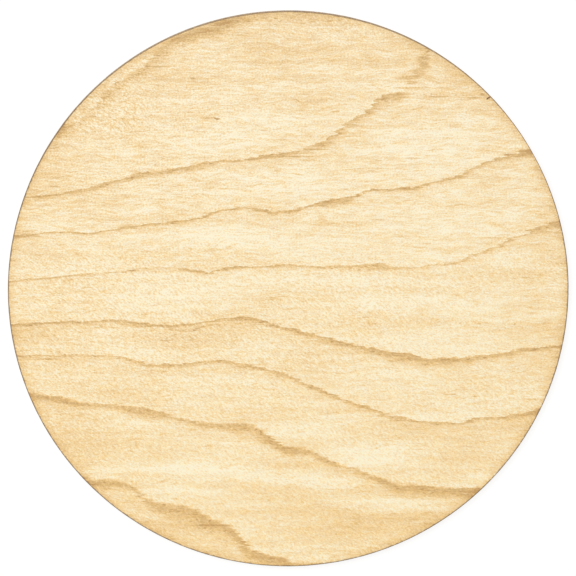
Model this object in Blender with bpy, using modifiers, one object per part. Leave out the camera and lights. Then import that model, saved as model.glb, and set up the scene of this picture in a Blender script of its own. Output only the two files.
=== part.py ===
"""Birch slice: a thin round blank of birch, laser-cut from a sanded board and lying on its back.

Run it with  blender --background --python part.py  or from Blender's text editor.
Metres, +Z up. The origin is at the centre of the underside and +X runs along the grain.
The beam came in from above, so the upper face is a little smaller than the lower one.
"""

from math import radians

import bmesh
import bpy
from mathutils import Matrix, Vector

# Driving dimensions, in metres
DIAMETER = 0.100
THICKNESS = 0.003
KERF_TAPER = 0.00008
ARRIS_RADIUS = 0.00015

# The slit that the beam burnt into the rim where its cut began and ended
SLIT_BEARING = radians(44.35)
SLIT_SLANT = radians(-11.5)
SLIT_DEPTH = 0.00095
SLIT_WIDTH = 0.00028

# How finely the round shapes are cut into faces
RIM_SEGMENTS = 256
ARRIS_SEGMENTS = 3
SLIT_SEGMENTS = 16

# How far the slit's cutter passes the blank, so that it cuts clean through
OVERSHOOT = 0.001

# The look of bare sanded birch
BIRCH_COLOUR = (0.90, 0.73, 0.46, 1.0)
BIRCH_ROUGHNESS = 0.68


def clear_scene():
    """Remove every object that the scene starts with."""
    for obj in list(bpy.data.objects):
        bpy.data.objects.remove(obj, do_unlink=True)


def new_collection(name):
    """A collection linked to the scene."""
    collection = bpy.data.collections.new(name)
    bpy.context.scene.collection.children.link(collection)
    return collection


def birch_material():
    """Pale sanded birch."""
    material = bpy.data.materials.new("sanded_birch")
    material.use_nodes = True
    shader = material.node_tree.nodes["Principled BSDF"]
    shader.inputs["Base Color"].default_value = BIRCH_COLOUR
    shader.inputs["Roughness"].default_value = BIRCH_ROUGHNESS
    shader.inputs["Metallic"].default_value = 0.0
    return material


def tapered_round(name, collection):
    """The round blank: a very flat cone whose wall leans in towards the face that the beam entered."""
    bm = bmesh.new()
    bmesh.ops.create_cone(
        bm,
        cap_ends=True,
        cap_tris=False,
        segments=RIM_SEGMENTS,
        radius1=DIAMETER / 2,
        radius2=DIAMETER / 2 - KERF_TAPER,
        depth=THICKNESS,
        matrix=Matrix.Translation((0.0, 0.0, THICKNESS / 2)),
    )
    mesh = bpy.data.meshes.new(name)
    bm.to_mesh(mesh)
    bm.free()
    obj = bpy.data.objects.new(name, mesh)
    collection.objects.link(obj)
    return obj


def round_the_arrises(obj):
    """Soften the two corners between the wall and the faces, as the beam and a light sanding leave them."""
    bevel = obj.modifiers.new("arris", "BEVEL")
    bevel.limit_method = "ANGLE"
    bevel.angle_limit = radians(45.0)
    bevel.width = ARRIS_RADIUS
    bevel.segments = ARRIS_SEGMENTS


def slit_cutter(collection):
    """A slot-shaped prism whose round end lies SLIT_DEPTH inside the rim and whose other end is outside it."""
    bm = bmesh.new()
    bmesh.ops.create_cone(
        bm,
        cap_ends=True,
        cap_tris=False,
        segments=SLIT_SEGMENTS,
        radius1=SLIT_WIDTH / 2,
        radius2=SLIT_WIDTH / 2,
        depth=THICKNESS + 2 * OVERSHOOT,
        matrix=Matrix.Translation((SLIT_WIDTH / 2, 0.0, THICKNESS / 2)),
    )
    for vertex in bm.verts:
        if vertex.co.x > SLIT_WIDTH / 2:
            vertex.co.x += SLIT_DEPTH + OVERSHOOT
    mesh = bpy.data.meshes.new("slit_cutter")
    bm.to_mesh(mesh)
    bm.free()
    cutter = bpy.data.objects.new("slit_cutter", mesh)
    rim_point = Matrix.Rotation(SLIT_BEARING, 3, "Z") @ Vector((DIAMETER / 2, 0.0, 0.0))
    heading = Matrix.Rotation(SLIT_BEARING + SLIT_SLANT, 3, "Z")
    cutter.location = rim_point - heading @ Vector((SLIT_DEPTH, 0.0, 0.0))
    cutter.rotation_euler.z = SLIT_BEARING + SLIT_SLANT
    cutter.hide_render = True
    cutter.display_type = "WIRE"
    collection.objects.link(cutter)
    return cutter


def cut(obj, cutter):
    """Take the cutter's shape out of the object."""
    boolean = obj.modifiers.new("slit", "BOOLEAN")
    boolean.operation = "DIFFERENCE"
    boolean.object = cutter


def build():
    """Make the slice."""
    clear_scene()
    parts = new_collection("birch_slice_parts")
    cutters = new_collection("cutters")
    blank = tapered_round("birch_slice", parts)
    blank.data.materials.append(birch_material())
    round_the_arrises(blank)
    cut(blank, slit_cutter(cutters))


build()
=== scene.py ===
"""Birch round: a thin blank of birch, laser-cut from a sanded board and lying on its back.

The round is one piece of wood. Its body is in metres, with +Z up and +X along the grain. The
wood's own figure, its growth lines, flecks and fibres, is laid out in millimetres from the middle
of the face, because that is the scale at which a board is read.
"""

import logging
from dataclasses import dataclass, field
from enum import Enum
from functools import reduce
from math import cos, e, pi, radians, sin
from operator import add

import bpy
from bpy.types import Material, Node, NodeSocket, NodeTree, Object
from mathutils import Matrix, Vector


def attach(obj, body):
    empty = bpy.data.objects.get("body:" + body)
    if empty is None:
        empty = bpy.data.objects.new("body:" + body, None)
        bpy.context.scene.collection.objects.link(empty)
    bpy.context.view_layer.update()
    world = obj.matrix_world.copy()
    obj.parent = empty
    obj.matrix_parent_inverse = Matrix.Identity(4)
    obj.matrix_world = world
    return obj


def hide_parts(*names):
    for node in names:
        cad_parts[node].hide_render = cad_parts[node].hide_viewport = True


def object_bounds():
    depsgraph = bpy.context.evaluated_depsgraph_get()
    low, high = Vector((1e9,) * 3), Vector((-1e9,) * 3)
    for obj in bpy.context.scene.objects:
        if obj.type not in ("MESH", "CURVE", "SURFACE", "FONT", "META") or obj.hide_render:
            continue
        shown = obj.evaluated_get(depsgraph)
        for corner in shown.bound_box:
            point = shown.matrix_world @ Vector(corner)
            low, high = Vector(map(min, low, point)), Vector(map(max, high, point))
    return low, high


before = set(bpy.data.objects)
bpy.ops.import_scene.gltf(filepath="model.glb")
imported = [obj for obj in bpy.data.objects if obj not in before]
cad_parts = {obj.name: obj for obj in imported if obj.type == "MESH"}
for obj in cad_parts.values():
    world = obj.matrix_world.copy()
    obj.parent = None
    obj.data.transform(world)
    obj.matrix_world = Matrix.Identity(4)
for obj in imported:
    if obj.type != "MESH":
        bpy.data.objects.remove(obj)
cad_low, cad_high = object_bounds()

LOG = logging.getLogger("birch_round")
MM = 0.001
# What turns a place in metres into one in millimetres
TO_MM = (1 / MM,) * 3
# How far apart the nodes are laid in a tree, and how many stand in a column
NODE_STEP = 180
NODES_IN_COLUMN = 8
# How far a seed of 1 moves the random field along, across and through the grain
SEED_STEP = (1.0, 0.37, 1.7)
# The growth lines are drawn over this half width, in millimetres, which the round fills
HALF_FIELD = 50.0
FIELD = 2 * HALF_FIELD

Point = tuple[float, float]
Axes = tuple[float, float, float]
Colour = tuple[float, float, float, float]
WHITE = (1.0, 1.0, 1.0, 1.0)


def linear(*channels: int) -> Colour:
    """Turn a colour as a paint maker quotes it into the light that it sends back.

    Args:
        *channels: Red, green and blue, from 0 to 255.

    Returns:
        The three linear values, from 0 to 1, and a full cover of 1.
    """
    shares = (channel / 255 for channel in channels)
    light = (s / 12.92 if s <= 0.04045 else ((s + 0.055) / 1.055) ** 2.4 for s in shares)
    return (*light, 1.0)


def level_heading(bearing: float) -> Vector:
    """Give the level way out from the middle at a bearing in radians, one unit long."""
    return Vector((cos(bearing), sin(bearing), 0.0))


class TreeKind(Enum):
    """The two kinds of node tree that share the wood's figure."""

    SHADER = "ShaderNodeTree"
    GEOMETRY = "GeometryNodeTree"


@dataclass(frozen=True)
class Lumps:
    """Smooth random lumps that run through the board.

    Attributes:
        pitch: Lumps for each millimetre along, across and through the grain.
        seed: Which part of the random field is read, so that no two are alike.
        detail: How many finer layers they have.
        roughness: How strong the finer layers are.
        amount: How much they change what they act on.
        span: Between which heights they come to show, where they show as marks.
    """

    pitch: Axes
    seed: float
    detail: float = 2.0
    roughness: float = 0.5
    amount: float = 1.0
    span: Point = (0.0, 1.0)


@dataclass(frozen=True)
class Spot:
    """A soft patch of the board that differs from the rest.

    Attributes:
        x: Middle of the patch along the grain, in millimetres.
        y: Middle of the patch across the grain, in millimetres.
        reach_x: How far it reaches along the grain, in millimetres.
        reach_y: How far it reaches across the grain, in millimetres.
        amount: How strong it is in its middle.
    """

    x: float
    y: float
    reach_x: float
    reach_y: float
    amount: float


class Number:
    """A number that a node gives, which sums are done with as if it were a plain one."""

    def __init__(self, bench: "Bench", socket: NodeSocket) -> None:
        """Keep the bench that the node is on, and the node's output."""
        self.bench = bench
        self.socket = socket

    def __add__(self, other: "Amount") -> "Number":
        """Add another."""
        return self.bench.reckon("ADD", self, other)

    def __sub__(self, other: "Amount") -> "Number":
        """Take another away."""
        return self.bench.reckon("SUBTRACT", self, other)

    def __rsub__(self, other: float) -> "Number":
        """Take this one away from a plain one."""
        return self.bench.reckon("SUBTRACT", other, self)

    def __mul__(self, other: "Amount") -> "Number":
        """Multiply by another."""
        return self.bench.reckon("MULTIPLY", self, other)

    def __truediv__(self, other: "Amount") -> "Number":
        """Divide by another."""
        return self.bench.reckon("DIVIDE", self, other)


Amount = float | Number
Given = Amount | Axes | Colour | NodeSocket
Inputs = dict[str | int, Given]


def total(*numbers: Number) -> Number:
    """Add several numbers up."""
    return reduce(add, numbers)


class Bench:
    """A node tree being wired, with short words for the nodes that wood needs."""

    def __init__(self, tree: NodeTree) -> None:
        """Start work on a tree."""
        self.tree = tree
        self.placed = 0

    def node(self, kind: str, given: Inputs | None = None, **settings: object) -> Node:
        """Add a node.

        Args:
            kind: The node's type.
            given: What goes into its inputs, by their name or number.
            **settings: Properties to set on it.

        Returns:
            The new node.
        """
        node = self.tree.nodes.new(kind)
        column, row = divmod(self.placed, NODES_IN_COLUMN)
        node.location = (NODE_STEP * column, -NODE_STEP * row)
        self.placed += 1
        for name, value in settings.items():
            setattr(node, name, value)
        for name, value in (given or {}).items():
            self.feed(node.inputs[name], value)
        return node

    def feed(self, socket: NodeSocket, value: Given) -> None:
        """Give an input its value, or join it to an output.

        Args:
            socket: The input.
            value: A plain value, or the output that feeds it.
        """
        if isinstance(value, Number):
            value = value.socket
        if isinstance(value, NodeSocket):
            self.tree.links.new(value, socket)
        else:
            socket.default_value = value

    def outputs(self, node: Node) -> dict[str, Number]:
        """Give what a node puts out, by name."""
        return {socket.name: Number(self, socket) for socket in node.outputs}

    def work(self, shape: NodeSocket, kind: str, given: Inputs | None = None,
             **settings: object) -> NodeSocket:
        """Pass a shape through a geometry node, made as node() makes one, and give what comes out."""
        return self.node(kind, {"Geometry": shape, **(given or {})}, **settings).outputs["Geometry"]

    def use(self, group: NodeTree, place: NodeSocket) -> dict[str, Number]:
        """Give what a group puts out at a place."""
        kind = self.tree.bl_idname.replace("Tree", "Group")
        return self.outputs(self.node(kind, {"Place": place}, node_tree=group))

    def give(self, **answers: Number) -> NodeTree:
        """Finish a group with its outputs.

        Args:
            **answers: What it puts out, each under its name.

        Returns:
            The group.
        """
        for name in answers:
            self.tree.interface.new_socket(name, in_out="OUTPUT", socket_type="NodeSocketFloat")
        self.node("NodeGroupOutput", answers)
        return self.tree

    def reckon(self, operation: str, *values: Amount, clamp: bool = False) -> Number:
        """Do one sum.

        Args:
            operation: The Math node's operation.
            *values: What goes in.
            clamp: Whether the answer is kept between 0 and 1.

        Returns:
            The answer.
        """
        given = dict(enumerate(values))
        node = self.node("ShaderNodeMath", given, operation=operation, use_clamp=clamp)
        return Number(self, node.outputs[0])

    def slope(self, value: Amount, steep: Amount, start: Amount) -> Number:
        """Go up by so much for each one of a value, from a start."""
        return self.reckon("MULTIPLY_ADD", value, steep, start)

    def level(self, x: Number, y: Number) -> Number:
        """Give how far a point is from the upright axis."""
        return self.reckon("SQRT", x * x + y * y)

    def axes(self, vector: NodeSocket) -> tuple[Number, ...]:
        """Split a vector into its x, y and z."""
        return tuple(self.outputs(self.node("ShaderNodeSeparateXYZ", {0: vector})).values())

    def vector(self, x: Amount, y: Amount, z: Amount) -> NodeSocket:
        """Join x, y and z into a vector."""
        return self.node("ShaderNodeCombineXYZ", {0: x, 1: y, 2: z}).outputs[0]

    def stretch(self, vector: NodeSocket, by: Given) -> NodeSocket:
        """Multiply a vector along each axis."""
        return self.node("ShaderNodeVectorMath", {0: vector, 1: by}, operation="MULTIPLY").outputs[0]

    def move(self, vector: NodeSocket, by: Given) -> NodeSocket:
        """Add two vectors."""
        return self.node("ShaderNodeVectorMath", {0: vector, 1: by}, operation="ADD").outputs[0]

    def dot(self, vector: NodeSocket, other: Given) -> Number:
        """Give two vectors' dot product."""
        node = self.node("ShaderNodeVectorMath", {0: vector, 1: other}, operation="DOT_PRODUCT")
        return Number(self, node.outputs["Value"])

    def lumps(self, place: NodeSocket, lumps: Lumps) -> Number:
        """Read random lumps at a place.

        Args:
            place: The place, in millimetres.
            lumps: Which lumps.

        Returns:
            Their height there: about 0.5, and seldom outside 0.2 to 0.8.
        """
        seed = tuple(lumps.seed * step for step in SEED_STEP)
        given = {
            "Vector": self.move(self.stretch(place, lumps.pitch), seed),
            "Scale": 1.0,
            "Detail": lumps.detail,
            "Roughness": lumps.roughness,
        }
        return Number(self, self.node("ShaderNodeTexNoise", given, noise_dimensions="3D").outputs[0])

    def sway(self, place: NodeSocket, lumps: Lumps) -> Number:
        """Read random lumps as a change either way from nothing, as strong as their amount."""
        return (self.lumps(place, lumps) - 0.5) * lumps.amount

    def rise(self, value: Number, start: Amount, end: Amount) -> Number:
        """Go smoothly from 0 to 1.

        Args:
            value: What the rise follows.
            start: The value up to which it stays at 0.
            end: The value from which it stays at 1.

        Returns:
            How far it has risen.
        """
        given = {"Value": value, "From Min": start, "From Max": end}
        node = self.node("ShaderNodeMapRange", given, interpolation_type="SMOOTHSTEP")
        return Number(self, node.outputs[0])

    def marks(self, place: NodeSocket, lumps: Lumps) -> Number:
        """Read random lumps as marks: 0 off them, and 1 where they are high enough."""
        return self.rise(self.lumps(place, lumps), *lumps.span)

    def spot(self, place: NodeSocket, spot: Spot) -> Number:
        """Read a soft spot at a place.

        Args:
            place: The place, in millimetres.
            spot: The spot.

        Returns:
            Its amount at its middle, dying away to nothing all round.
        """
        offset = self.stretch(self.move(place, (-spot.x, -spot.y, 0.0)),
                              (1 / spot.reach_x, 1 / spot.reach_y, 0.0))
        return self.reckon("POWER", e, self.dot(offset, offset) * -1.0) * spot.amount

    def vector_mix(self, share: Amount, first: Given, second: Given) -> NodeSocket:
        """Go from the first vector to the second."""
        return self.node("ShaderNodeMix", {0: share, 4: first, 5: second}, data_type="VECTOR").outputs[1]

    def colour_mix(self, share: Amount, first: Given, second: Given) -> NodeSocket:
        """Go from the first colour to the second."""
        return self.node("ShaderNodeMix", {0: share, 6: first, 7: second}, data_type="RGBA").outputs[2]

    def along(self, share: Number, points: tuple[Point, ...], low: float, high: float) -> Number:
        """Read a curve drawn through points over the round's width.

        Args:
            share: How far across the field to read it, from 0 to 1.
            points: The curve's points: millimetres along the grain, and the value there.
            low: The value at the bottom of the curve's scale.
            high: The value at the top of the curve's scale.

        Returns:
            The value, as a share of the way from low to high.
        """
        node = self.node("ShaderNodeFloatCurve", {"Value": share})
        node.mapping.extend = "HORIZONTAL"
        line = node.mapping.curves[0].points
        while len(line) < len(points):
            line.new(0.5, 0.5)
        for handle, (place, value) in zip(line, points):
            handle.location = ((place + HALF_FIELD) / FIELD, (value - low) / (high - low))
            handle.handle_type = "AUTO_CLAMPED"
        node.mapping.update()
        return Number(self, node.outputs[0])


def start_group(name: str, kind: TreeKind) -> tuple[Bench, NodeSocket]:
    """Start a node group that works something out from a place in the board.

    Args:
        name: The group's name.
        kind: Which kind of tree it is for.

    Returns:
        The group's bench, and the place in millimetres that it is given.
    """
    tree = bpy.data.node_groups.new(name, kind.value)
    tree.interface.new_socket("Place", in_out="INPUT", socket_type="NodeSocketVector")
    bench = Bench(tree)
    return bench, bench.node("NodeGroupInput").outputs["Place"]


@dataclass(frozen=True)
class GrowthLine:
    """The dense dark wood that ended one year's growth, as it crosses the face.

    Attributes:
        name: What the line is called.
        course: The line's upper edge: millimetres along the grain and across it.
        breadth: How broad the dark wood is, in millimetres, along the grain.
        depth: How dark it is along the grain, from 0 to 1.
        shade: How much the wood below the line is tanned.
        fade: How far below the line the tan dies away, in millimetres.
        edge: How soft the upper edge is, in millimetres.
    """

    name: str
    course: tuple[Point, ...]
    breadth: tuple[Point, ...]
    depth: tuple[Point, ...]
    shade: float = 0.10
    fade: float = 1.6
    edge: float = 0.10


GROWTH_LINES = (
    GrowthLine(
        "shoulder",
        course=((-41, 29.6), (-38, 30.2), (-36, 31.2), (-34, 33.6), (-31.5, 36.3), (-28, 38.8),
                (-25, 40.6), (-23.5, 42.3), (-20, 45.4), (-16, 46.6), (-12, 48.0), (-8, 49.0)),
        breadth=((-41, 1.2), (-37, 0.5), (-33, 1.5), (-28, 1.1), (-22, 1.7), (-14, 1.6), (-8, 1.2)),
        depth=((-42, 0.0), (-40, 0.50), (-37.5, 0.20), (-33, 0.26), (-28, 0.26), (-24, 0.26),
               (-20, 0.30), (-13, 0.42), (-9, 0.30), (-6, 0.0)),
        shade=0.06,
        edge=0.5,
    ),
    GrowthLine(
        "crown",
        course=((-47, 17.0), (-43.5, 17.3), (-40, 17.9), (-35, 18.9), (-31.5, 19.9), (-28, 20.9),
                (-22, 21.9), (-16, 23.0), (-12, 23.5), (-7, 23.9), (-3, 24.7), (1, 25.2), (4, 26.3),
                (6.5, 27.2), (8, 28.4), (12, 31.2), (14.5, 32.9), (15.6, 34.4), (18, 35.4),
                (21, 35.6)),
        breadth=((-47, 0.2), (-38, 0.4), (-34, 0.55), (-28, 0.5), (-16, 0.8), (-10, 0.3), (-4, 0.6),
                 (2, 0.4), (7, 1.1), (12, 0.9), (16, 1.5), (19, 1.2), (21, 0.8)),
        depth=((-48, 0.38), (-40, 0.37), (-30, 0.44), (-22, 0.40), (-16, 0.47), (-8, 0.41),
               (-3, 0.45), (4, 0.38), (8, 0.38), (14, 0.42), (18, 0.45), (20, 0.33), (21.5, 0.0)),
        shade=0.10,
    ),
    GrowthLine(
        "upper",
        course=((-49, 10.3), (-45, 10.4), (-42, 10.9), (-38, 10.85), (-35, 10.7), (-31, 11.4),
                (-27, 12.0), (-20, 12.8), (-15, 13.7), (-12.5, 14.7), (-8, 15.25), (-5, 14.9),
                (-2, 14.5), (1, 14.8), (4, 15.7), (8, 16.6), (12, 17.5), (14.2, 18.4), (19, 18.5),
                (23, 18.9), (27, 20.1), (30, 20.8), (34, 22.7), (38, 24.3), (43.5, 25.6)),
        breadth=((-49, 0.5), (-44, 0.25), (-35, 0.2), (-15, 0.3), (-8, 0.2), (-2, 0.5), (4, 0.3),
                 (9, 0.9), (14, 0.3), (22, 0.3), (30, 0.4), (37, 0.5), (41, 1.2), (44, 1.5)),
        depth=((-49, 0.55), (-40, 0.42), (-35, 0.50), (-22, 0.44), (-15, 0.52), (-8, 0.46),
               (-2, 0.52), (4, 0.50), (9, 0.50), (14, 0.58), (20, 0.42), (27, 0.46), (33, 0.40),
               (38, 0.46), (42, 0.44), (44, 0.44)),
        shade=0.12,
    ),
    GrowthLine(
        "middle",
        course=((-50, 2.0), (-46, 2.4), (-40, 3.0), (-36, 3.4), (-29, 3.9), (-23, 4.6), (-19, 4.5),
                (-16, 3.9), (-14.3, 3.6), (-12, 4.3), (-8, 4.6), (-4, 4.8), (0, 5.0), (6, 4.7),
                (12, 4.9), (16, 5.0), (20, 4.5), (24, 4.7), (28, 5.2), (31, 5.8), (35, 7.5),
                (39, 9.2), (42, 10.4), (45, 11.8), (48, 12.6)),
        breadth=((-50, 0.2), (-35, 0.2), (-25, 0.2), (-18, 0.5), (-13, 0.3), (-4, 0.3), (6, 0.5),
                 (15, 0.9), (20, 0.4), (30, 0.3), (42, 0.3), (45, 1.0), (48, 1.2)),
        depth=((-50, 0.42), (-44, 0.36), (-38, 0.50), (-32, 0.36), (-27, 0.18), (-21, 0.12),
               (-18, 0.45), (-12, 0.52), (-6, 0.50), (0, 0.46), (5, 0.34), (11, 0.28), (16, 0.34),
               (22, 0.26), (30, 0.34), (36, 0.40), (42, 0.44), (48, 0.36)),
        shade=0.08,
    ),
    GrowthLine(
        "belt",
        course=((-50, -5.7), (-45, -5.6), (-42, -5.3), (-35, -5.1), (-31, -4.9), (-27, -5.3),
                (-22, -5.8), (-18, -5.7), (-14, -5.0), (-10, -4.4), (-6, -4.7), (-2, -5.9),
                (2, -6.9), (7, -8.4), (12, -9.6), (16, -10.4), (21, -11.2), (26, -12.0),
                (31, -11.9), (36, -11.3), (41, -10.5), (46, -9.9), (49, -9.5)),
        breadth=((-50, 0.3), (-30, 0.3), (-22, 0.4), (-16, 0.3), (-10, 0.5), (0, 0.6), (12, 0.8),
                 (20, 1.2), (27, 1.0), (34, 0.9), (42, 0.5), (49, 0.6)),
        depth=((-50, 0.46), (-38, 0.43), (-28, 0.41), (-20, 0.44), (-10, 0.44), (0, 0.41),
               (12, 0.43), (20, 0.47), (27, 0.48), (36, 0.40), (42, 0.44), (49, 0.58)),
        shade=0.13,
    ),
    GrowthLine(
        "strand",
        course=((-31, -5.5), (-27, -5.8), (-22, -6.1), (-20, -6.7), (-18.3, -6.8), (-16.5, -6.5),
                (-14.7, -6.0), (-12, -5.6)),
        breadth=((-31, 0.25), (-12, 0.25)),
        depth=((-31, 0.0), (-28, 0.18), (-22, 0.36), (-15, 0.34), (-12.5, 0.0)),
        shade=0.0,
    ),
    GrowthLine(
        "lower",
        course=((-49, -11.3), (-43, -11.2), (-38, -11.2), (-32, -11.4), (-28, -12.0),
                (-25, -12.9), (-20, -13.0), (-15, -12.4), (-12, -12.2), (-8, -13.0), (-4, -13.8),
                (0, -15.0), (4, -16.8), (8, -18.4), (12, -20.1), (15, -21.1), (17, -22.0),
                (22, -23.0), (27, -23.7), (31, -23.5), (34, -22.8), (38, -22.6), (42, -21.9),
                (45.5, -21.0)),
        breadth=((-49, 0.25), (-30, 0.3), (-18, 0.5), (-5, 0.5), (3, 0.6), (12, 0.6), (18, 0.5),
                 (26, 0.3), (33, 0.4), (45, 0.8)),
        depth=((-49, 0.36), (-38, 0.34), (-30, 0.36), (-22, 0.36), (-14, 0.30), (-5, 0.36),
               (2, 0.38), (12, 0.40), (18, 0.40), (26, 0.42), (34, 0.42), (40, 0.34), (45, 0.46)),
        shade=0.13,
    ),
    GrowthLine(
        "sash",
        course=((-47, -18.2), (-42, -18.7), (-37, -19.8), (-32, -20.3), (-28, -20.7),
                (-24.5, -21.1), (-20, -22.5), (-16, -23.5), (-12, -23.8), (-6.5, -24.2),
                (-4, -25.7), (0, -28.1), (3.5, -28.5), (6, -29.8), (9.5, -31.3), (13, -32.5),
                (16, -33.6), (18, -34.5), (24, -35.2), (30, -35.6), (36, -35.8)),
        breadth=((-47, 0.9), (-38, 0.9), (-33, 0.5), (-26, 1.3), (-20, 0.6), (-12, 0.9), (-7, 1.6),
                 (-2, 1.4), (3, 0.9), (10, 0.8), (17, 1.1), (22, 1.5), (30, 1.4), (36, 1.5)),
        depth=((-47, 0.49), (-38, 0.46), (-32, 0.36), (-26, 0.46), (-20, 0.32), (-12, 0.38),
               (-6, 0.40), (-2, 0.43), (4, 0.40), (8, 0.38), (11, 0.24), (14, 0.38), (19, 0.47),
               (26, 0.53), (36, 0.56)),
        shade=0.13,
        edge=0.30,
    ),
    GrowthLine(
        "heel",
        course=((-38, -33.2), (-35.5, -33.8), (-32, -34.2), (-28.5, -34.8), (-26.8, -36.2),
                (-25, -37.7), (-21, -38.5), (-18, -38.9), (-15, -40.6), (-12, -41.9),
                (-9.5, -43.4), (-8.2, -45.3), (-6.5, -46.8), (-3, -48.0), (0, -48.8), (2, -49.8)),
        breadth=((-38, 1.2), (-34, 1.2), (-31, 0.7), (-27, 0.9), (-24, 1.2), (-19, 2.6), (-14, 2.2),
                 (-10, 1.8), (-6, 1.4), (0, 1.2)),
        depth=((-38, 0.50), (-34, 0.42), (-30, 0.35), (-27, 0.28), (-24, 0.38), (-20, 0.36),
               (-16, 0.38), (-12, 0.35), (-9, 0.42), (-6.5, 0.43), (-3, 0.35), (-0.5, 0.42),
               (0.5, 0.0)),
        shade=0.16,
        fade=3.0,
        edge=0.52,
    ),
)


@dataclass(frozen=True)
class Figure:
    """How the growth lines run through the board, shared by the wood's colour and its relief.

    Attributes:
        lines: The growth lines.
        slant: How far the lines slide across the grain for each millimetre of thickness.
        strength: How dark the lines are as a whole.
        pull: How the fibres carry a line along the grain, in millimetres.
        fray: How the finest fibres carry it along the grain, in millimetres.
        doubling: How it splits across the grain into strokes, in millimetres.
        wander: How it strays across the grain, in millimetres.
        jitter: How it shakes across the grain from fibre to fibre, in millimetres.
        broken: How unevenly dark it is along its run.
        vessels: The open vessels on it, which are darker still.
        steady: Where the lines run thin and steady.
        above: How far the dark wood starts above its course, in millimetres.
        broadest: The broadest that a line may be, in millimetres.
        solid: Share of the breadth that is fully dark.
        faded: Share of the breadth past which nothing of the dark wood is left.
        faint: The depth below which the tan beside a line fades too.
    """

    lines: tuple[GrowthLine, ...] = GROWTH_LINES
    slant: float = 0.8
    strength: float = 0.83
    pull: Lumps = Lumps((0.06, 2.4, 2.4), 11.0, detail=1.0, amount=3.0)
    fray: Lumps = Lumps((0.5, 4.2, 3.0), 15.0, detail=1.0, amount=1.6)
    doubling: Lumps = Lumps((0.28, 1.7, 0.8), 57.0, detail=1.0, amount=0.9)
    wander: Lumps = Lumps((0.35, 0.8, 0.3), 23.0, amount=0.5)
    jitter: Lumps = Lumps((1.6, 1.2, 0.8), 27.0, detail=1.0, amount=0.44)
    broken: Lumps = Lumps((0.9, 2.6, 1.5), 33.0, amount=1.7)
    vessels: Lumps = Lumps((1.1, 3.2, 2.0), 47.0, detail=0.0, amount=0.42, span=(0.66, 0.76))
    steady: Spot = Spot(-36, 4, 20, 22, -0.5)
    above: float = 0.10
    broadest: float = 4.0
    solid: float = 0.3
    faded: float = 1.9
    faint: float = 0.1

    def group(self, kind: TreeKind, thickness: float) -> NodeTree:
        """Wire the figure as a node group.

        Args:
            kind: Which kind of tree it is for.
            thickness: The board's thickness, in millimetres.

        Returns:
            The group, which takes a place in millimetres and gives the tone and the line mask.
        """
        bench, place = start_group("growth_lines_" + kind.name.lower(), kind)
        x, y, z = bench.axes(place)
        across = bench.slope(thickness - z, self.slant, y)
        share = (x + bench.sway(place, self.pull) + bench.sway(place, self.fray) + HALF_FIELD) / FIELD
        strays = total(*(bench.sway(place, stray) for stray in (self.doubling, self.wander, self.jitter)))
        unsteady = bench.spot(place, self.steady) + 1.0
        height = across + strays * unsteady + HALF_FIELD
        darks, tans, masks = zip(*(self.one_line(bench, line, share, height) for line in self.lines))
        patchy = bench.lumps(place, self.broken) - 0.5
        broken = bench.slope(patchy, unsteady * self.broken.amount, 1.0)
        mask = total(*masks)
        vessels = mask * bench.marks(place, self.vessels) * self.vessels.amount
        dark = total(*darks) * broken + vessels
        return bench.give(Tone=total(dark, *tans), Line=mask)

    def one_line(self, bench: Bench, line: GrowthLine, share: Number, height: Number) -> tuple[Number, ...]:
        """Wire one growth line.

        Args:
            bench: The group's bench.
            line: The line.
            share: How far along the grain, from 0 to 1 over the field.
            height: How far across the grain from the field's lower side, in millimetres.

        Returns:
            The line's own tone, the tan below it, and the mask of its dark wood.
        """
        course = bench.along(share, line.course, -HALF_FIELD, HALF_FIELD)
        below = bench.slope(course, FIELD, height * -1.0) + self.above
        breadth = bench.along(share, line.breadth, 0.0, self.broadest) * self.broadest
        depth = bench.along(share, line.depth, 0.0, 1.0)
        start = bench.rise(below, -line.edge, line.edge)
        core = start * (1.0 - bench.rise(below, breadth * self.solid, breadth * self.faded))
        decay = bench.reckon("POWER", e, below * (-1.0 / line.fade))
        tan = start * bench.reckon("MINIMUM", decay, 1.0) * line.shade
        return core * depth * self.strength, tan * bench.rise(depth, 0.0, self.faint), core


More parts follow.
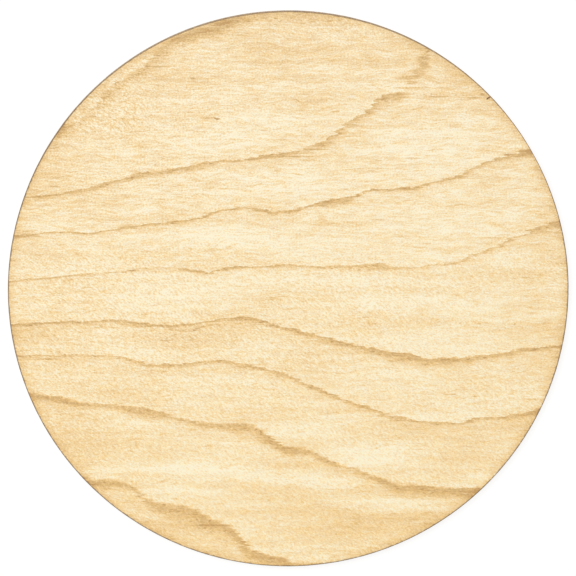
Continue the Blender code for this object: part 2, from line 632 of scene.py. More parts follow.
# Where the wood is darker, or paler where the amount is below 0
TONE_SPOTS = (
    Spot(-39.3, 29, 1.6, 1.6, 0.20),
    Spot(-44, 23, 4, 6, 0.16),
    Spot(-39, 28, 5, 5, 0.06),
    Spot(-13, 47.5, 8, 2.2, 0.08),
    Spot(-23, 41.5, 7, 4, 0.11),
    Spot(4, 48.5, 12, 2, 0.11),
    Spot(2, 42, 16, 6, 0.06),
    Spot(-18, 36.5, 9, 2.5, 0.05),
    Spot(-42, 16.2, 5, 1.6, -0.10),
    Spot(-9, 9.6, 11, 3.4, -0.13),
    Spot(-21, 2.5, 9, 4, -0.09),
    Spot(4, 20.5, 11, 3.5, -0.11),
    Spot(20, 31.5, 5, 2, 0.05),
    Spot(24, 28.5, 9, 3.5, -0.08),
    Spot(37.5, 31, 4, 4, 0.10),
    Spot(30, 39, 8, 5, 0.10),
    Spot(28, 12.3, 13, 2.6, -0.14),
    Spot(9, 3.5, 12, 3, -0.09),
    Spot(46, 14, 3, 10, 0.07),
    Spot(45, -4, 5, 6, 0.06),
    Spot(30, -8.2, 19, 2.4, -0.08),
    Spot(46, -12.5, 4, 2, 0.06),
    Spot(-43, -8, 8, 2.4, 0.06),
    Spot(-18, -8, 9, 2.2, 0.05),
    Spot(-22, -18.3, 9, 2.6, -0.09),
    Spot(-9, -15.8, 5, 1.6, 0.06),
    Spot(27, -17.8, 10, 3, -0.08),
    Spot(41, -24.5, 5, 6, 0.08),
    Spot(-40, -24.3, 7, 4, 0.12),
    Spot(-37, -31.2, 4, 2, 0.10),
    Spot(-14, -32.2, 12, 1, -0.12),
    Spot(-20, -35, 6, 2, -0.12),
    Spot(16, -29, 10, 3, -0.10),
    Spot(16, -38.2, 8, 0.9, -0.08),
    Spot(22, -41, 12, 1.8, 0.18),
    Spot(-3, -40, 12, 1.8, 0.12),
    Spot(25, -43.5, 7, 2.6, 0.08),
    Spot(-27, -40.5, 8, 3, 0.12),
    Spot(-15, -44.2, 6, 1.6, -0.05),
)


class FleckKind(Enum):
    """What a fleck is, with how dark it shows."""

    VESSEL = 0.30
    STAIN = 0.36
    PIN_KNOT = 1.30


@dataclass(frozen=True)
class Fleck:
    """A short mark of its own, along the grain.

    Attributes:
        x: Middle of the fleck along the grain, in millimetres.
        y: Middle of the fleck across the grain, in millimetres.
        length: Its length, in millimetres.
        breadth: Its breadth, in millimetres.
        kind: What it is.
    """

    x: float
    y: float
    length: float
    breadth: float
    kind: FleckKind = FleckKind.VESSEL


FLECKS = (
    Fleck(-12.75, 31.05, 0.5, 0.45, FleckKind.PIN_KNOT),
    Fleck(-14, 31.2, 3.2, 0.3),
    Fleck(-16.9, 38.2, 1.4, 0.35),
    Fleck(-22.3, 40.25, 4.4, 0.3),
    Fleck(8.2, 32.3, 1.4, 0.3),
    Fleck(-2.1, 21.8, 0.9, 0.35),
    Fleck(5.6, 25.6, 5, 0.25),
    Fleck(2.6, 24.35, 5.6, 0.25),
    Fleck(2.2, 24.9, 4, 0.2),
    Fleck(21.6, 36.5, 6.4, 0.4),
    Fleck(20.8, 38.3, 5, 0.75, FleckKind.STAIN),
    Fleck(21.6, 37.4, 2.2, 0.8, FleckKind.STAIN),
    Fleck(22.9, 39.2, 2.6, 1.7, FleckKind.STAIN),
    Fleck(23.9, 41.1, 2.2, 2.6, FleckKind.STAIN),
    Fleck(24.4, 43, 0.6, 1.8),
    Fleck(26, 34.9, 5, 0.25),
    Fleck(32, 34.75, 4.4, 0.25),
    Fleck(22, 24, 3, 0.25),
    Fleck(10.1, 18.5, 1, 0.3),
    Fleck(16, 13, 2.6, 0.25),
    Fleck(35.5, 9.75, 8, 0.25),
    Fleck(23.4, 8.1, 3, 0.3),
    Fleck(42.2, 2.6, 1.8, 0.35),
    Fleck(28.8, -18.5, 2.4, 0.3),
    Fleck(33.4, -18.8, 2, 0.3),
    Fleck(43.5, -19.4, 3.4, 0.3),
    Fleck(-28, 4, 1.4, 0.3),
    Fleck(-41.5, 19.1, 1.4, 0.3),
    Fleck(-14, -42.3, 8, 0.4),
    Fleck(-44, -11.9, 8, 0.3),
    Fleck(-46.5, 10.6, 3.4, 0.3),
    Fleck(-46.2, 11.05, 2.4, 0.25),
    Fleck(-32, 3.75, 3, 0.2),
    Fleck(-20.4, -7.5, 0.8, 0.4),
    Fleck(-21.8, -8.6, 1.6, 0.3),
)


@dataclass(frozen=True)
class Markings:
    """The broad patches, which run right through the board, and the flecks on its upper face.

    Attributes:
        spots: The patches.
        flecks: The flecks.
        ragged: How the fibres carry a mark's edge along the grain, in millimetres.
        edge: Where a fleck ends and where it is darkest, as shares of the way out from its middle.
    """

    spots: tuple[Spot, ...] = TONE_SPOTS
    flecks: tuple[Fleck, ...] = FLECKS
    ragged: Lumps = Lumps((0.5, 2.8, 1.0), 53.0, detail=1.0, amount=2.0)
    edge: Point = (1.3, 0.5)

    def group(self, thickness: float) -> NodeTree:
        """Wire the markings as a node group.

        Args:
            thickness: The board's thickness, in millimetres.

        Returns:
            The group, which takes a place in millimetres and gives the tone that they add.
        """
        bench, place = start_group("markings", TreeKind.SHADER)
        place = bench.move(place, bench.vector(bench.sway(place, self.ragged), 0.0, 0.0))
        tones = [bench.spot(place, spot) for spot in self.spots]
        for fleck in self.flecks:
            offset = bench.stretch(bench.move(place, (-fleck.x, -fleck.y, -thickness)),
                                   (2 / fleck.length, 2 / fleck.breadth, 1.0))
            reach = bench.reckon("SQRT", bench.dot(offset, offset))
            tones.append(bench.rise(reach, *self.edge) * fleck.kind.value)
        return bench.give(Tone=total(*tones))


@dataclass(frozen=True)
class FibreGrain:
    """The fine figure between the growth lines: vessel dashes, curly fibres and sanding.

    Attributes:
        bend: How the fibres bend across the grain, in millimetres.
        dash: The vessel dashes.
        dash_depth: How dark the dashes are in straight wood.
        curl_loss: How much fainter they are in curly wood.
        pore: The open pores.
        curl: The curly flecks, along their own run.
        curl_turn: How far the curly flecks are turned from the grain, in radians.
        turning: How curly the wood is from place to place.
        curly: Where it is curlier than elsewhere.
        curly_span: How curly it has to be to start to show, and to show in full.
        sanding: The sanding marks.
        mottle: Broad lumps of tone.
        streak: Long thin streaks of tone.
        band: Broad soft bands along the grain.
        soft: Where those bands are.
        crisp: Where the fine marks are stronger than elsewhere, or weaker below 0.
    """

    bend: Lumps = Lumps((0.12, 0.25, 0.2), 3.0, amount=2.4)
    dash: Lumps = Lumps((0.46, 3.4, 3.0), 5.0, detail=3.0, roughness=0.6)
    dash_depth: float = 0.84
    curl_loss: float = 0.36
    pore: Lumps = Lumps((0.42, 3.4, 3.0), 41.0, detail=1.0, amount=0.16, span=(0.60, 0.74))
    curl: Lumps = Lumps((1.25, 3.3, 2.0), 7.0, detail=2.5, roughness=0.6, amount=0.96)
    curl_turn: float = radians(32.0)
    turning: Lumps = Lumps((0.03, 0.06, 0.05), 19.0, detail=1.0)
    curly: tuple[Spot, ...] = (Spot(-33, 33, 9, 7, 0.35), Spot(2, -30, 60, 30, 0.30))
    curly_span: Point = (0.42, 0.78)
    sanding: Lumps = Lumps((3.2, 4.4, 3.0), 13.0, detail=1.0, roughness=0.6, amount=0.80)
    mottle: Lumps = Lumps((0.05, 0.16, 0.2), 29.0, detail=3.0, amount=0.42)
    streak: Lumps = Lumps((0.03, 0.8, 0.8), 37.0, amount=0.30)
    band: Lumps = Lumps((0.04, 0.34, 0.3), 73.0, detail=1.0, amount=0.36)
    soft: Spot = Spot(0, -36, 60, 20, 1.0)
    crisp: tuple[Spot, ...] = (Spot(-25, 28, 24, 16, 0.24), Spot(0, -38, 60, 22, -0.36),
                               Spot(30, -5, 24, 18, -0.14))

    def group(self, kind: TreeKind) -> NodeTree:
        """Wire the fibres as a node group.

        Args:
            kind: Which kind of tree it is for.

        Returns:
            The group, which takes a place in millimetres and gives the tone that the fibres add,
            above 0 where they are darker, and how deep their pores are.
        """
        bench, place = start_group("fibres_" + kind.name.lower(), kind)
        bent = bench.move(place, bench.vector(0.0, bench.sway(place, self.bend), 0.0))
        curly_spots = (bench.spot(place, spot) for spot in self.curly)
        curly = bench.rise(total(bench.lumps(place, self.turning), *curly_spots), *self.curly_span)
        dash = (0.5 - bench.lumps(bent, self.dash)) * bench.slope(curly, -self.curl_loss, self.dash_depth)
        turned = bench.node("ShaderNodeVectorRotate", {"Vector": bent, "Angle": self.curl_turn},
                            rotation_type="Z_AXIS")
        curl = bench.sway(turned.outputs[0], self.curl) * curly
        crisp = total(*(bench.spot(place, spot) for spot in self.crisp)) + 1.0
        fine = (dash - curl - bench.sway(place, self.sanding)) * crisp
        band = bench.sway(bent, self.band) * bench.spot(place, self.soft)
        pores = bench.marks(bent, self.pore)
        broad = band + bench.sway(bent, self.mottle) + bench.sway(bent, self.streak)
        return bench.give(Tone=fine - broad + pores * self.pore.amount, Pores=pores)


@dataclass(frozen=True)
class SandedFinish:
    """Bare birch, sanded smooth.

    Attributes:
        shades: The wood's colours, from its palest to its darkest, with the tone of each.
        plain_tone: The tone of wood with no mark on it.
        tan_tone: How much darker and browner the face is beside the cut.
        patches: How the wood turns redder or yellower from place to place.
        warmth: How much yellower the warmest wood is.
        redness: How much redder it is, as a share of that.
        warmth_slope: How much warmer the wood is for each millimetre down across the grain.
        warm_start: Share of the warmth that the palest wood has.
        warm_rise: How fast that share grows with the tone.
        roughness: How matt the sanded wood is.
        dark_roughness: How much more matt its dark marks are.
        pore_depth: How deep the pores look, in metres.
        pore_strength: How strongly they catch the light.
    """

    shades: tuple[tuple[float, Colour], ...] = (
        (0.00, linear(254, 244, 212)),
        (0.10, linear(252, 235, 197)),
        (0.23, linear(248, 221, 171)),
        (0.39, linear(241, 206, 148)),
        (0.59, linear(225, 188, 127)),
        (1.00, linear(196, 152, 92)),
    )
    plain_tone: float = 0.17
    tan_tone: float = 0.22
    patches: Lumps = Lumps((0.7, 2.2, 1.2), 67.0)
    warmth: float = 0.36
    redness: float = 0.30
    warmth_slope: float = 0.0026
    warm_start: float = 0.5
    warm_rise: float = 2.2
    roughness: float = 0.62
    dark_roughness: float = 0.25
    pore_depth: float = 0.00002
    pore_strength: float = 0.5

    def colour(self, bench: Bench, place: NodeSocket, tone: Number) -> NodeSocket:
        """Wire the colour of bare wood.

        Args:
            bench: The material's bench.
            place: The place, in millimetres.
            tone: How dark the wood is there.

        Returns:
            The colour.
        """
        _, across, _ = bench.axes(place)
        warm = bench.lumps(place, self.patches) + across * -self.warmth_slope - 0.5
        warm = warm * bench.reckon("MULTIPLY_ADD", tone, self.warm_rise, self.warm_start, clamp=True)
        tint = bench.vector(bench.slope(warm, self.warmth * self.redness, 1.0), 1.0,
                            bench.slope(warm, -self.warmth, 1.0))
        ramp = bench.node("ShaderNodeValToRGB", {"Fac": tone})
        stops = ramp.color_ramp.elements
        while len(stops) < len(self.shades):
            stops.new(0.5)
        for stop, (position, colour) in zip(stops, self.shades):
            stop.position = position
            stop.color = colour
        return bench.stretch(ramp.outputs["Color"], tint)


@dataclass(frozen=True)
class CharredFinish:
    """Wood that the beam has burnt.

    Attributes:
        dark: The darkest char.
        light: The palest scorched wood, which the slit's walls also wear as painted light against the shade
            inside the narrow cut.
        streaks: The streaks that the beam left down the wall.
        soot: The soot along the upper arris.
        soot_depth: How far down the wall the soot reaches, in millimetres.
        roughness: How matt the char is.
        relief: How much the streaks catch the light.
        arris_share: Share of the arris, from the wall, that is always charred.
        margin: How far the char reaches onto the face, in millimetres.
        ragged: How ragged that margin is.
        spared: How much less it reaches on the side that the air kept clean.
        spared_bearing: Where that side is, in radians.
        spared_span: How far towards that side it starts and ends, as shares of the radius.
        tan_margin: How far the heat has tanned the face, in millimetres.
        tanning: How uneven that margin is.
        tan_fall: How steeply the tan falls off, as a power.
        slit: How burnt the slit's walls are, from 0 to 1.
        slit_margin: Where that ends and where it is full, in millimetres from the slit.
        slit_tan: How tanned the face is beside the slit.
        slit_tan_margin: How far that tan reaches, in millimetres.
    """

    dark: Colour = linear(140, 114, 84)
    light: Colour = linear(200, 169, 128)
    streaks: Lumps = Lumps((3.2, 3.2, 0.25), 91.0, detail=3.0, roughness=0.65, span=(0.25, 0.75))
    soot: Colour = linear(124, 100, 74)
    soot_depth: float = 0.2
    roughness: float = 0.88
    relief: float = 1.5
    arris_share: float = 0.4
    margin: float = 0.29
    ragged: Lumps = Lumps((1.6, 1.6, 0.4), 71.0)
    spared: float = 0.8
    spared_bearing: float = radians(80.0)
    spared_span: Point = (0.2, 0.9)
    # tan_margin: How far that darker, browner margin reaches onto the face, in millimetres.
    tan_margin: float = 2.2
    tanning: Lumps = Lumps((0.5, 0.9, 0.2), 83.0, detail=3.0)
    tan_fall: float = 1.5
    slit: float = 0.25
    slit_margin: Point = (0.12, 0.02)
    slit_tan: float = 0.6
    slit_tan_margin: float = 0.6


@dataclass
class BirchRound:
    """The round itself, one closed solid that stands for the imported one.

    Attributes:
        low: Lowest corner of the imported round, in metres.
        high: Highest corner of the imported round, in metres.
        taper: How much smaller the upper face's radius is, in metres.
        arris: Radius of the arrises, in metres.
        slit_bearing: Where the burnt slit is on the rim, in radians.
        slit_slant: How far the slit turns from the radius, in radians.
        slit_depth: How far the slit goes in, in metres.
        slit_width: How wide the slit is, in metres.
        slit_sides: Sides of the post whose near half is the slit's round end.
        columns: Faces along the grain.
        rows: Faces across the grain.
        layers: Faces through the thickness.
        arris_layers: How many of those layers round each arris.
        tuck: Where the points next to the rim are, as a share of the way out.
        ridge: How far the dense wood stands proud of the face, in metres.
        furrow: How deep the fibres' furrows are, in metres.
        ripple: How deep the beam's ripples are in the wall, in metres.
        ripples: How those ripples run.
        seed: Which ripples they are.
        crease: The angle past which an edge stays sharp, in radians.
        sanded: The finish of the faces.
        charred: The finish of the wall and the slit.
        figure: The growth lines.
        fibres: The fine grain.
        markings: The patches and flecks.
    """

    low: Vector
    high: Vector
    taper: float = 0.00008
    arris: float = 0.00015
    slit_bearing: float = radians(44.35)
    slit_slant: float = radians(-11.5)
    slit_depth: float = 0.00095
    slit_width: float = 0.00028
    slit_sides: int = 16
    columns: int = 109
    rows: int = 379
    layers: int = 10
    arris_layers: int = 3
    tuck: float = 0.998
    ridge: float = 0.00003
    furrow: float = 0.00003
    ripple: float = 0.00005
    ripples: Lumps = Lumps((0.9, 0.9, 0.12), 61.0)
    seed: float = 4.0
    crease: float = radians(50.0)
    sanded: SandedFinish = field(default_factory=SandedFinish)
    charred: CharredFinish = field(default_factory=CharredFinish)
    figure: Figure = field(default_factory=Figure)
    fibres: FibreGrain = field(default_factory=FibreGrain)
    markings: Markings = field(default_factory=Markings)

    @property
    def radius(self) -> float:
        """Radius of the underside, in metres."""
        return (self.high.x - self.low.x) / 2

    @property
    def thickness(self) -> float:
        """The round's thickness, in metres."""
        return self.high.z - self.low.z

    @property
    def slit_turn(self) -> float:
        """The way out of the slit, as an angle in radians."""
        return self.slit_bearing + self.slit_slant

    @property
    def slit_heading(self) -> Vector:
        """The way out of the slit, level and one unit long."""
        return level_heading(self.slit_turn)

    @property
    def slit_end(self) -> Vector:
        """The middle of the slit's round inner end, in metres."""
        rim = level_heading(self.slit_bearing) * self.radius
        return rim - self.slit_heading * (self.slit_depth - self.slit_width / 2)

    # The solid

    def geometry_tree(self, wood: Material) -> NodeTree:
        """Wire the tree that turns a gridded block into the round.

        Args:
            wood: The material that the round wears.

        Returns:
            The tree, with the round's sizes as its named inputs.
        """
        tree = bpy.data.node_groups.new("birch_round", TreeKind.GEOMETRY.value)
        for name in self.sizes:
            tree.interface.new_socket(name, in_out="INPUT", socket_type="NodeSocketFloat")
        tree.interface.new_socket("Geometry", in_out="OUTPUT", socket_type="NodeSocketGeometry")
        bench = Bench(tree)
        sizes = bench.outputs(bench.node("NodeGroupInput"))
        block = bench.node("GeometryNodeMeshCube", {
            "Size": (2.0, 2.0, 1.0),
            "Vertices X": self.columns + 1,
            "Vertices Y": self.rows + 1,
            "Vertices Z": self.layers + 1,
        })
        shape = bench.work(block.outputs["Mesh"], "GeometryNodeSetPosition",
                           {"Position": self.rounded(bench, sizes)})
        cut = bench.node("GeometryNodeMeshBoolean", {"Mesh 1": shape, "Mesh 2": self.slit_cutter(bench)},
                         operation="DIFFERENCE", solver="EXACT")
        shape = bench.work(cut.outputs["Mesh"], "GeometryNodeStoreNamedAttribute",
                           {"Name": "OFBake", "Value": self.flattened(bench)},
                           data_type="FLOAT2", domain="CORNER")
        shape = bench.work(shape, "GeometryNodeSetShadeSmooth", domain="FACE")
        angle = bench.outputs(bench.node("GeometryNodeInputMeshEdgeAngle"))["Unsigned Angle"]
        sharp = bench.reckon("GREATER_THAN", angle, self.crease)
        shape = bench.work(shape, "GeometryNodeSetShadeSmooth",
                           {"Selection": sharp, "Shade Smooth": False}, domain="EDGE")
        shape = bench.work(shape, "GeometryNodeRealizeInstances")
        shape = bench.work(shape, "GeometryNodeSetMaterial", {"Material": wood})
        bench.node("NodeGroupOutput", {"Geometry": shape})
        return tree

    @property
    def sizes(self) -> dict[str, float]:
        """The sizes that the geometry tree takes.

        Returns:
            Each size, by the name of its input there.
        """
        return {
            "Radius": self.radius,
            "Thickness": self.thickness,
            "Taper": self.taper,
            "Arris": self.arris,
            "Ridge": self.ridge,
            "Furrow": self.furrow,
            "Ripple": self.ripple,
            "Seed": self.seed,
        }

    def rounded(self, bench: Bench, sizes: dict[str, Number]) -> NodeSocket:
        """Work out where each point of the block goes on the round.

        Args:
            bench: The geometry tree's bench.
            sizes: The tree's named inputs.

        Returns:
            The point's place on the round, in metres.
        """
        u, v, level = bench.axes(bench.node("GeometryNodeInputPosition").outputs[0])
        u, v = self.tucked(bench, u, self.columns), self.tucked(bench, v, self.rows)
        layer = bench.slope(level, self.layers, self.layers / 2)
        lower = self.arris_turn(bench, layer)
        upper = self.arris_turn(bench, self.layers - layer)
        inset = (1.0 - bench.reckon("SINE", lower)) + (1.0 - bench.reckon("SINE", upper))
        straight = bench.slope(sizes["Arris"], -2.0, sizes["Thickness"])
        wall_layers = self.layers - 2 * self.arris_layers
        climbed = bench.reckon("DIVIDE", layer - self.arris_layers, wall_layers, clamp=True)
        curved = bench.reckon("COSINE", lower) * -1.0 + bench.reckon("COSINE", upper) + 1.0
        z = curved * sizes["Arris"] + straight * climbed
        cone = sizes["Radius"] - z / sizes["Thickness"] * sizes["Taper"]
        radius = cone - inset * sizes["Arris"]
        x = u * self.squeezed(bench, v) * radius
        y = v * self.squeezed(bench, u) * radius
        place = bench.stretch(bench.vector(x, y, z), TO_MM)
        on_top = bench.reckon("GREATER_THAN", layer, self.layers - 0.5)
        below = bench.reckon("LESS_THAN", layer, 0.5)
        on_wall = 1.0 - on_top - below
        z = z + self.wear(bench, sizes, place) * (below - on_top)
        share = 1.0 - self.beam_ripple(bench, sizes, place) * on_wall / sizes["Radius"]
        return bench.vector(x * share, y * share, z)

    def tucked(self, bench: Bench, share: Number, faces: int) -> Number:
        """Draw the points next to the rim up close to it, which keeps the arris crisp.

        Args:
            bench: The geometry tree's bench.
            share: How far out a point of the block is along one axis, from -1 to 1.
            faces: How many faces the block has along that axis.

        Returns:
            How far out the point goes, from -1 to 1.
        """
        nearly_all = 0.9999
        stretched = self.tuck / (1 - 2 / faces)
        on_rim = bench.reckon("GREATER_THAN", bench.reckon("ABSOLUTE", share), nearly_all)
        return share * bench.slope(on_rim, 1 - stretched, stretched)

    def squeezed(self, bench: Bench, other: Number) -> Number:
        """Give the share that turns a square's side into a circle's, from the other axis."""
        return bench.reckon("SQRT", bench.slope(other * other, -0.5, 1.0))

    def arris_turn(self, bench: Bench, layer: Number) -> Number:
        """Give how far round the arris a layer is, as an angle up to a right angle."""
        return bench.reckon("DIVIDE", layer, self.arris_layers, clamp=True) * (pi / 2)

    def wear(self, bench: Bench, sizes: dict[str, Number], place: NodeSocket) -> Number:
        """Give how deep the sanding has cut at a place, in metres.

        Args:
            bench: The geometry tree's bench.
            sizes: The tree's named inputs.
            place: The place, in millimetres.

        Returns:
            The depth below the proudest wood.
        """
        lines = bench.use(self.figure.group(TreeKind.GEOMETRY, self.thickness / MM), place)
        fibres = bench.use(self.fibres.group(TreeKind.GEOMETRY), place)
        soft = bench.reckon("SUBTRACT", 1.0, lines["Line"], clamp=True)
        return soft * sizes["Ridge"] + fibres["Pores"] * sizes["Furrow"]

    def beam_ripple(self, bench: Bench, sizes: dict[str, Number], place: NodeSocket) -> Number:
        """Give how deep the beam's ripples are in the wall at a place, in metres."""
        seeded = bench.move(place, bench.vector(sizes["Seed"], 0.0, 0.0))
        return bench.lumps(seeded, self.ripples) * sizes["Ripple"]

    def slit_cutter(self, bench: Bench) -> NodeSocket:
        """Make the upright block that takes the slit out of the rim.

        Args:
            bench: The geometry tree's bench.

        Returns:
            The block, marked as the slit's own.
        """
        block = bench.node("GeometryNodeMeshCylinder", {
            "Vertices": self.slit_sides,
            "Radius": self.slit_width / 2,
            "Depth": self.thickness * 2,
        })
        x, _, _ = bench.axes(bench.node("GeometryNodeInputPosition").outputs[0])
        just_off_middle = self.slit_width / 100
        outer = bench.reckon("GREATER_THAN", x, just_off_middle)
        shape = bench.work(block.outputs["Mesh"], "GeometryNodeSetPosition",
                           {"Selection": outer, "Offset": (self.slit_depth * 2, 0.0, 0.0)})
        end = self.slit_end
        shape = bench.work(shape, "GeometryNodeTransform", {
            "Translation": (end.x, end.y, self.thickness / 2),
            "Rotation": (0.0, 0.0, self.slit_turn),
        })
        return bench.work(shape, "GeometryNodeStoreNamedAttribute", {"Name": "slit", "Value": True},
                          data_type="BOOLEAN", domain="FACE")

    def flattened(self, bench: Bench) -> NodeSocket:
        """Lay the round's skin out flat.

        The face has the wall as a ring round it, and the underside and the slit's walls lie apart.

        Args:
            bench: The geometry tree's bench.

        Returns:
            Each corner's place on the flat sheet, from 0 to 1.
        """
        border = 0.005
        under_share = 0.7
        slit_low, slit_gap, slit_top = 0.03, 0.03, 0.95
        reach = self.radius + self.thickness
        under_reach = self.radius * under_share
        scale = (1 - 2 * border) / ((reach + under_reach) * (1 + 0.5 ** 0.5))
        face_middle = border + reach * scale
        under_middle = 1 - border - under_reach * scale
        x, y, z = bench.axes(bench.node("GeometryNodeInputPosition").outputs[0])
        radius = bench.level(x, y)
        spread = (radius + (self.thickness - z)) / radius * scale
        upper = bench.vector(bench.slope(x, spread, face_middle), bench.slope(y, spread, face_middle), 0.0)
        under_scale = scale * under_share
        under = bench.vector(bench.slope(x, -under_scale, under_middle),
                             bench.slope(y, under_scale, under_middle), 0.0)
        end, heading = self.slit_end, self.slit_heading
        run = x * heading.x + y * heading.y + -end.dot(heading)
        side = x * -heading.y + y * heading.x + (end.x * heading.y - end.y * heading.x)
        face_side = self.on_face(bench, bench.reckon("GREATER_THAN", side, 0.0))
        slit = bench.vector(bench.slope(run, scale, bench.slope(face_side, slit_gap, slit_low)),
                            bench.slope(z, scale, slit_top), 0.0)
        low = bench.reckon("LESS_THAN", z, self.thickness / 2)
        inner = bench.reckon("LESS_THAN", radius, self.radius - self.arris)
        is_under = self.on_face(bench, low) * self.on_face(bench, inner)
        marked = bench.node("GeometryNodeInputNamedAttribute", {"Name": "slit"}, data_type="BOOLEAN")
        is_slit = self.on_face(bench, Number(bench, marked.outputs["Attribute"]))
        return bench.vector_mix(is_slit, bench.vector_mix(is_under, upper, under), slit)

    def on_face(self, bench: Bench, value: Number) -> Number:
        """Read a value at the middle of the face, so that all of its corners agree."""
        node = bench.node("GeometryNodeFieldOnDomain", {"Value": value}, domain="FACE", data_type="FLOAT")
        return Number(bench, node.outputs["Value"])

    def solid(self, wood: Material) -> Object:
        """Make the round as a plain mesh.

        Args:
            wood: The material that it wears.

        Returns:
            The round, with its place in its mesh.
        """
        holder = bpy.data.objects.new("blank", bpy.data.meshes.new("blank"))
        bpy.context.scene.collection.objects.link(holder)
        modifier = holder.modifiers.new("Round", "NODES")
        modifier.node_group = self.geometry_tree(wood)
        for item in modifier.node_group.interface.items_tree:
            if item.in_out == "INPUT":
                modifier[item.identifier] = self.sizes[item.name]
        shaped = holder.evaluated_get(bpy.context.evaluated_depsgraph_get())
        mesh = bpy.data.meshes.new_from_object(shaped)
        mesh.name = "birch_round"
        mesh.attributes.remove(mesh.attributes["slit"])
        mesh.materials.clear()
        mesh.materials.append(wood)
        mesh.polygons.foreach_set("material_index", [0] * len(mesh.polygons))
        bpy.data.objects.remove(holder)
        piece = bpy.data.objects.new("birch_round", mesh)
        bpy.context.scene.collection.objects.link(piece)
        return piece

    # The finish

    def char_group(self) -> NodeTree:
        """Wire where and how much the beam has burnt the wood.

        Returns:
            The group, which takes a place in millimetres and gives the char, the tan beside it,
            the char's own streaks, lifted to the pale char in the slit as painted light against the
            shade there, and the soot on it, kept off the slit's walls for that painted light, each from 0
            to 1.
        """
        char = self.charred
        arris = self.arris / MM
        top = self.thickness / MM
        bench, place = start_group("char", TreeKind.SHADER)
        x, y, z = bench.axes(place)
        inward = bench.slope(z, -self.taper / self.thickness, self.radius / MM) - bench.level(x, y)
        spared_side = bench.dot(place, level_heading(char.spared_bearing) * MM / self.radius)
        blown = bench.slope(bench.rise(spared_side, *char.spared_span), -char.spared, 1.0)
        start = arris * char.arris_share
        reach = bench.slope(bench.lumps(place, char.ragged) * blown, char.margin * 2, start)
        rim = bench.rise(inward, reach, start)
        end, heading = self.slit_end / MM, self.slit_heading
        off_x = x - end.x
        off_y = y - end.y
        run = bench.reckon("MAXIMUM", off_x * heading.x + off_y * heading.y, 0.0)
        away = bench.level(bench.slope(run, -heading.x, off_x), bench.slope(run, -heading.y, off_y))
        wall = self.slit_width / MM / 2
        slit = bench.rise(away, *(wall + margin for margin in char.slit_margin))
        tan_reach = bench.lumps(place, char.tanning) * (char.tan_margin * 2)
        tan = bench.reckon("POWER", bench.rise(inward, tan_reach, 0.0), char.tan_fall)
        slit_tan = bench.rise(away, wall + char.slit_tan_margin, wall) * char.slit_tan
        sooty = bench.rise(z, top - char.soot_depth, top - arris / 2)
        return bench.give(
            Char=bench.reckon("MAXIMUM", rim, slit * char.slit),
            Tan=bench.reckon("MAXIMUM", tan, slit_tan),
            # Inside the slit the streaks are lifted to the pale char: painted light against the shade in
            # the narrow cut.
            Streaks=bench.marks(place, char.streaks) + slit,
            # Soot is kept off the slit's walls, also as painted light against the shade there.
            Soot=sooty * (1.0 - slit),
        )

    def material(self) -> Material:
        """Make the wood's material: sanded faces that run into a charred rim.

        Returns:
            The material.
        """
        wood = bpy.data.materials.new("sanded_birch")
        wood.use_nodes = True
        wood.node_tree.nodes.clear()
        bench = Bench(wood.node_tree)
        place = bench.stretch(bench.node("ShaderNodeTexCoord").outputs["Object"], TO_MM)
        lines = bench.use(self.figure.group(TreeKind.SHADER, self.thickness / MM), place)
        fibres = bench.use(self.fibres.group(TreeKind.SHADER), place)
        marks = bench.use(self.markings.group(self.thickness / MM), place)
        burn = bench.use(self.char_group(), place)
        sanded, charred = self.sanded, self.charred
        tone = total(lines["Tone"] + sanded.plain_tone, fibres["Tone"], marks["Tone"],
                     burn["Tan"] * sanded.tan_tone)
        # Where the slit's walls are, this mix gives the pale char: painted light against the shade in the
        # narrow cut.
        wall = bench.colour_mix(burn["Streaks"], charred.dark, charred.light)
        burnt = bench.colour_mix(burn["Soot"], wall, charred.soot)
        matt = bench.slope(fibres["Tone"], sanded.dark_roughness, sanded.roughness)
        height = fibres["Tone"] * -1.0 + burn["Streaks"] * burn["Char"] * charred.relief
        bump = bench.node("ShaderNodeBump", {
            "Strength": sanded.pore_strength,
            "Distance": sanded.pore_depth,
            "Height": height,
        })
        shader = bench.node("ShaderNodeBsdfPrincipled", {
            "Base Color": bench.colour_mix(burn["Char"], sanded.colour(bench, place, tone), burnt),
            "Roughness": matt + burn["Char"] * (charred.roughness - sanded.roughness),
            "Normal": bump.outputs["Normal"],
        })
        bench.node("ShaderNodeOutputMaterial", {"Surface": shader.outputs["BSDF"]})
        return wood

    def make(self) -> Object:
        """Make the round, dress it and set it on its body.

        Returns:
            The finished round.
        """
        piece = self.solid(self.material())
        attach(piece, "root")
        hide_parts("birch_slice")
        return piece


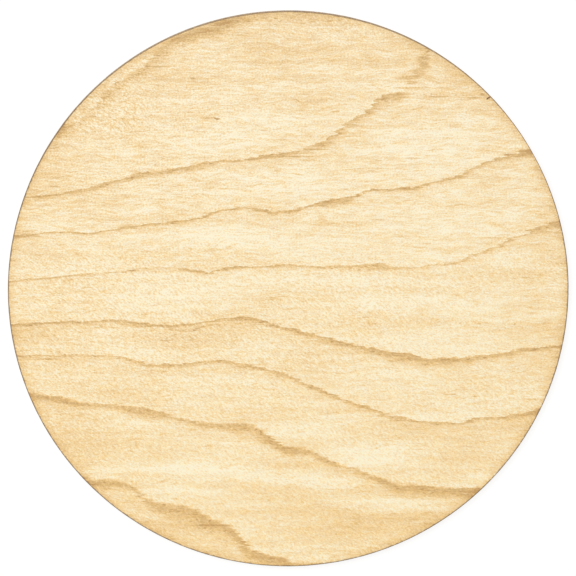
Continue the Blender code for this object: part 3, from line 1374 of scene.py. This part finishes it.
@dataclass
class Studio:
    """A pale floor, soft light from all round, and a camera that looks almost straight down.

    Attributes:
        centre_height: Height of the face that the camera looks at, in metres.
        aim: Where on the face the camera looks, in metres.
        tilt: How far the camera leans from straight above, in radians.
        lean: The way that it leans.
        distance: How far off it is, in metres.
        lens: Its lens, in millimetres.
        nearest: How near it can see, in metres.
        farthest: How far it can see, in metres.
        floor_size: Length of the floor's sides, in metres.
        floor_grey: How much light the floor sends back.
        floor_glow: How much light it gives of its own.
        floor_roughness: How matt it is.
        world_strength: How bright the room is.
        key_place: Where the key light hangs, in metres.
        key_size: How broad it is, in metres.
        key_power: How bright it is, in watts.
    """

    centre_height: float
    aim: Point = (-0.0001, 0.00084)
    tilt: float = radians(8.47)
    lean: Point = (-0.102, 1.0)
    distance: float = 0.5693
    lens: float = 200.0
    nearest: float = 0.01
    farthest: float = 100.0
    floor_size: float = 30.0
    floor_grey: Colour = (0.25, 0.25, 0.25, 1.0)
    floor_glow: float = 0.80
    floor_roughness: float = 0.9
    world_strength: float = 0.56
    key_place: Axes = (-0.25, 0.35, 1.1)
    key_size: float = 0.6
    key_power: float = 6.7

    def camera(self) -> None:
        """Set up the camera and make it the scene's."""
        lens = bpy.data.cameras.new("camera")
        lens.lens = self.lens
        lens.clip_start = self.nearest
        lens.clip_end = self.farthest
        camera = bpy.data.objects.new("camera", lens)
        bpy.context.scene.collection.objects.link(camera)
        lean = Vector((*self.lean, 0.0)).normalized()
        back = lean * sin(self.tilt) + Vector((0.0, 0.0, cos(self.tilt)))
        right = Vector((0.0, 1.0, 0.0)).cross(back).normalized()
        turn = Matrix((right, back.cross(right), back)).transposed().to_4x4()
        target = Vector((*self.aim, self.centre_height))
        camera.matrix_world = Matrix.Translation(target + back * self.distance) @ turn
        bpy.context.scene.camera = camera

    def floor(self) -> None:
        """Lay the floor."""
        half = self.floor_size / 2
        mesh = bpy.data.meshes.new("floor")
        corners = [(-half, -half, 0.0), (half, -half, 0.0), (half, half, 0.0), (-half, half, 0.0)]
        mesh.from_pydata(corners, [], [(0, 1, 2, 3)])
        paper = bpy.data.materials.new("white_paper")
        paper.use_nodes = True
        inputs = paper.node_tree.nodes["Principled BSDF"].inputs
        inputs["Base Color"].default_value = self.floor_grey
        inputs["Roughness"].default_value = self.floor_roughness
        inputs["Specular IOR Level"].default_value = 0.0
        inputs["Emission Color"].default_value = WHITE
        inputs["Emission Strength"].default_value = self.floor_glow
        mesh.materials.append(paper)
        floor = bpy.data.objects.new("floor", mesh)
        bpy.context.scene.collection.objects.link(floor)

    def lights(self) -> None:
        """Hang the broad key light and brighten the room."""
        scene = bpy.context.scene
        scene.view_settings.view_transform = "Standard"
        scene.world = bpy.data.worlds.new("studio")
        scene.world.use_nodes = True
        sky = scene.world.node_tree.nodes["Background"].inputs
        sky["Color"].default_value = WHITE
        sky["Strength"].default_value = self.world_strength
        lamp = bpy.data.lights.new("key", "AREA")
        lamp.shape = "DISK"
        lamp.size = self.key_size
        lamp.energy = self.key_power
        key = bpy.data.objects.new("key", lamp)
        key.location = self.key_place
        key.rotation_mode = "QUATERNION"
        key.rotation_quaternion = (-key.location).to_track_quat("-Z", "Y")
        scene.collection.objects.link(key)

    def make(self) -> None:
        """Set the studio up."""
        self.floor()
        self.lights()
        self.camera()


def main() -> None:
    """Build the round and its studio, and note what was built and how big it is."""
    logging.basicConfig(level=logging.INFO, format="%(name)s: %(message)s")
    Studio(centre_height=cad_high.z).make()
    piece = BirchRound(cad_low, cad_high).make()
    LOG.info("%s: %d faces", piece.name, len(piece.data.polygons))


if __name__ == "__main__":
    main()
